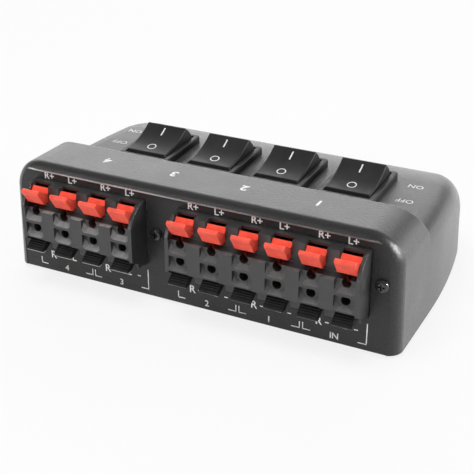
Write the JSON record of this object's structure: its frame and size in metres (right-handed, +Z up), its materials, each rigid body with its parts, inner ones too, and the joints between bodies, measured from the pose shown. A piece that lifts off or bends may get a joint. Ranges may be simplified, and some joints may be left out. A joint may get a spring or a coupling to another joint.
{
  "type": "speaker selector switch",
  "caption": "Desktop speaker selector box with a row of rocker switches on a sloped console and two banks of sprung push terminals for speaker and amplifier wires.",
  "frame": {"origin": "middle of the whole footprint, lever tips included, on the plane that the rubber feet stand on", "axes": "+Z up, +X to the right seen from the terminal face, +Y towards the user's side, terminal face towards -Y"},
  "size_m": [0.18, 0.1328, 0.0527],
  "materials": {
    "housing": "fine textured charcoal ABS",
    "block": "black moulded plastic",
    "red_lever": "red moulded plastic",
    "black_lever": "black moulded plastic",
    "switch": "black satin plastic",
    "rubber": "matt black rubber",
    "screw": "blackened steel",
    "contact": "tinned brass",
    "board": "phenolic paper board",
    "red_wire": "PVC insulation",
    "grey_wire": "PVC insulation",
    "copper": "tinned copper wire"
  },
  "bodies": {
    "console": {"housing_shell": "housing", "bottom_cover": "housing", "rubber_feet": "rubber", "cover_screws": "screw", "terminal_screws": "screw", "left_terminal_block": "block", "right_terminal_block": "block", "left_back_plate": "board", "right_back_plate": "board", "left_contact_springs": "contact", "right_contact_springs": "contact", "switch_case_1": "switch", "switch_case_2": "switch", "switch_case_3": "switch", "switch_case_4": "switch", "switch_tags_1": "contact", "switch_tags_2": "contact", "switch_tags_3": "contact", "switch_tags_4": "contact", "speaker_wires_1": "grey_wire", "speaker_wires_2": "grey_wire", "speaker_wires_3": "grey_wire", "speaker_wires_4": "grey_wire", "amplifier_wires": "red_wire", "common_bus_wire": "copper"},
    "rocker_1": {"rocker_1": "switch"},
    "rocker_2": {"rocker_2": "switch"},
    "rocker_3": {"rocker_3": "switch"},
    "rocker_4": {"rocker_4": "switch"},
    "plus_lever_01": {"plus_lever_01": "red_lever"},
    "minus_lever_01": {"minus_lever_01": "black_lever"},
    "plus_lever_02": {"plus_lever_02": "red_lever"},
    "minus_lever_02": {"minus_lever_02": "black_lever"},
    "plus_lever_03": {"plus_lever_03": "red_lever"},
    "minus_lever_03": {"minus_lever_03": "black_lever"},
    "plus_lever_04": {"plus_lever_04": "red_lever"},
    "minus_lever_04": {"minus_lever_04": "black_lever"},
    "plus_lever_05": {"plus_lever_05": "red_lever"},
    "minus_lever_05": {"minus_lever_05": "black_lever"},
    "plus_lever_06": {"plus_lever_06": "red_lever"},
    "minus_lever_06": {"minus_lever_06": "black_lever"},
    "plus_lever_07": {"plus_lever_07": "red_lever"},
    "minus_lever_07": {"minus_lever_07": "black_lever"},
    "plus_lever_08": {"plus_lever_08": "red_lever"},
    "minus_lever_08": {"minus_lever_08": "black_lever"},
    "plus_lever_09": {"plus_lever_09": "red_lever"},
    "minus_lever_09": {"minus_lever_09": "black_lever"},
    "plus_lever_10": {"plus_lever_10": "red_lever"},
    "minus_lever_10": {"minus_lever_10": "black_lever"}
  },
  "joints": [
    {"name": "rocker_1_tilt", "type": "hinge", "parent": "console", "child": "rocker_1", "pos_m": [-0.0489, 0.00552, 0.04017], "axis": [1, 0, 0], "range_deg": [-32, 0]},
    {"name": "rocker_2_tilt", "type": "hinge", "parent": "console", "child": "rocker_2", "pos_m": [-0.0163, 0.00552, 0.04017], "axis": [1, 0, 0], "range_deg": [-32, 0]},
    {"name": "rocker_3_tilt", "type": "hinge", "parent": "console", "child": "rocker_3", "pos_m": [0.0163, 0.00552, 0.04017], "axis": [1, 0, 0], "range_deg": [-32, 0]},
    {"name": "rocker_4_tilt", "type": "hinge", "parent": "console", "child": "rocker_4", "pos_m": [0.0489, 0.00552, 0.04017], "axis": [1, 0, 0], "range_deg": [-32, 0]},
    {"name": "plus_lever_01_push", "type": "hinge", "parent": "console", "child": "plus_lever_01", "pos_m": [-0.0698, -0.05608, 0.0392], "axis": [1, 0, 0], "range_deg": [0, 9], "stiffness_Nm_per_rad": 0.05, "springref_deg": -8.59, "deforming": ["left_contact_springs"]},
    {"name": "minus_lever_01_push", "type": "hinge", "parent": "console", "child": "minus_lever_01", "pos_m": [-0.0698, -0.05608, 0.0232], "axis": [-1, 0, 0], "range_deg": [0, 9], "stiffness_Nm_per_rad": 0.05, "springref_deg": -8.59, "deforming": ["left_contact_springs"]},
    {"name": "plus_lever_02_push", "type": "hinge", "parent": "console", "child": "plus_lever_02", "pos_m": [-0.0556, -0.05608, 0.0392], "axis": [1, 0, 0], "range_deg": [0, 9], "stiffness_Nm_per_rad": 0.05, "springref_deg": -8.59, "deforming": ["left_contact_springs"]},
    {"name": "minus_lever_02_push", "type": "hinge", "parent": "console", "child": "minus_lever_02", "pos_m": [-0.0556, -0.05608, 0.0232], "axis": [-1, 0, 0], "range_deg": [0, 9], "stiffness_Nm_per_rad": 0.05, "springref_deg": -8.59, "deforming": ["left_contact_springs"]},
    {"name": "plus_lever_03_push", "type": "hinge", "parent": "console", "child": "plus_lever_03", "pos_m": [-0.0414, -0.05608, 0.0392], "axis": [1, 0, 0], "range_deg": [0, 9], "stiffness_Nm_per_rad": 0.05, "springref_deg": -8.59, "deforming": ["left_contact_springs"]},
    {"name": "minus_lever_03_push", "type": "hinge", "parent": "console", "child": "minus_lever_03", "pos_m": [-0.0414, -0.05608, 0.0232], "axis": [-1, 0, 0], "range_deg": [0, 9], "stiffness_Nm_per_rad": 0.05, "springref_deg": -8.59, "deforming": ["left_contact_springs"]},
    {"name": "plus_lever_04_push", "type": "hinge", "parent": "console", "child": "plus_lever_04", "pos_m": [-0.0272, -0.05608, 0.0392], "axis": [1, 0, 0], "range_deg": [0, 9], "stiffness_Nm_per_rad": 0.05, "springref_deg": -8.59, "deforming": ["left_contact_springs"]},
    {"name": "minus_lever_04_push", "type": "hinge", "parent": "console", "child": "minus_lever_04", "pos_m": [-0.0272, -0.05608, 0.0232], "axis": [-1, 0, 0], "range_deg": [0, 9], "stiffness_Nm_per_rad": 0.05, "springref_deg": -8.59, "deforming": ["left_contact_springs"]},
    {"name": "plus_lever_05_push", "type": "hinge", "parent": "console", "child": "plus_lever_05", "pos_m": [0.0002, -0.05608, 0.0392], "axis": [1, 0, 0], "range_deg": [0, 9], "stiffness_Nm_per_rad": 0.05, "springref_deg": -8.59, "deforming": ["right_contact_springs"]},
    {"name": "minus_lever_05_push", "type": "hinge", "parent": "console", "child": "minus_lever_05", "pos_m": [0.0002, -0.05608, 0.0232], "axis": [-1, 0, 0], "range_deg": [0, 9], "stiffness_Nm_per_rad": 0.05, "springref_deg": -8.59, "deforming": ["right_contact_springs"]},
    {"name": "plus_lever_06_push", "type": "hinge", "parent": "console", "child": "plus_lever_06", "pos_m": [0.0144, -0.05608, 0.0392], "axis": [1, 0, 0], "range_deg": [0, 9], "stiffness_Nm_per_rad": 0.05, "springref_deg": -8.59, "deforming": ["right_contact_springs"]},
    {"name": "minus_lever_06_push", "type": "hinge", "parent": "console", "child": "minus_lever_06", "pos_m": [0.0144, -0.05608, 0.0232], "axis": [-1, 0, 0], "range_deg": [0, 9], "stiffness_Nm_per_rad": 0.05, "springref_deg": -8.59, "deforming": ["right_contact_springs"]},
    {"name": "plus_lever_07_push", "type": "hinge", "parent": "console", "child": "plus_lever_07", "pos_m": [0.0286, -0.05608, 0.0392], "axis": [1, 0, 0], "range_deg": [0, 9], "stiffness_Nm_per_rad": 0.05, "springref_deg": -8.59, "deforming": ["right_contact_springs"]},
    {"name": "minus_lever_07_push", "type": "hinge", "parent": "console", "child": "minus_lever_07", "pos_m": [0.0286, -0.05608, 0.0232], "axis": [-1, 0, 0], "range_deg": [0, 9], "stiffness_Nm_per_rad": 0.05, "springref_deg": -8.59, "deforming": ["right_contact_springs"]},
    {"name": "plus_lever_08_push", "type": "hinge", "parent": "console", "child": "plus_lever_08", "pos_m": [0.0428, -0.05608, 0.0392], "axis": [1, 0, 0], "range_deg": [0, 9], "stiffness_Nm_per_rad": 0.05, "springref_deg": -8.59, "deforming": ["right_contact_springs"]},
    {"name": "minus_lever_08_push", "type": "hinge", "parent": "console", "child": "minus_lever_08", "pos_m": [0.0428, -0.05608, 0.0232], "axis": [-1, 0, 0], "range_deg": [0, 9], "stiffness_Nm_per_rad": 0.05, "springref_deg": -8.59, "deforming": ["right_contact_springs"]},
    {"name": "plus_lever_09_push", "type": "hinge", "parent": "console", "child": "plus_lever_09", "pos_m": [0.057, -0.05608, 0.0392], "axis": [1, 0, 0], "range_deg": [0, 9], "stiffness_Nm_per_rad": 0.05, "springref_deg": -8.59, "deforming": ["right_contact_springs"]},
    {"name": "minus_lever_09_push", "type": "hinge", "parent": "console", "child": "minus_lever_09", "pos_m": [0.057, -0.05608, 0.0232], "axis": [-1, 0, 0], "range_deg": [0, 9], "stiffness_Nm_per_rad": 0.05, "springref_deg": -8.59, "deforming": ["right_contact_springs"]},
    {"name": "plus_lever_10_push", "type": "hinge", "parent": "console", "child": "plus_lever_10", "pos_m": [0.0712, -0.05608, 0.0392], "axis": [1, 0, 0], "range_deg": [0, 9], "stiffness_Nm_per_rad": 0.05, "springref_deg": -8.59, "deforming": ["right_contact_springs"]},
    {"name": "minus_lever_10_push", "type": "hinge", "parent": "console", "child": "minus_lever_10", "pos_m": [0.0712, -0.05608, 0.0232], "axis": [-1, 0, 0], "range_deg": [0, 9], "stiffness_Nm_per_rad": 0.05, "springref_deg": -8.59, "deforming": ["right_contact_springs"]}
  ]
}
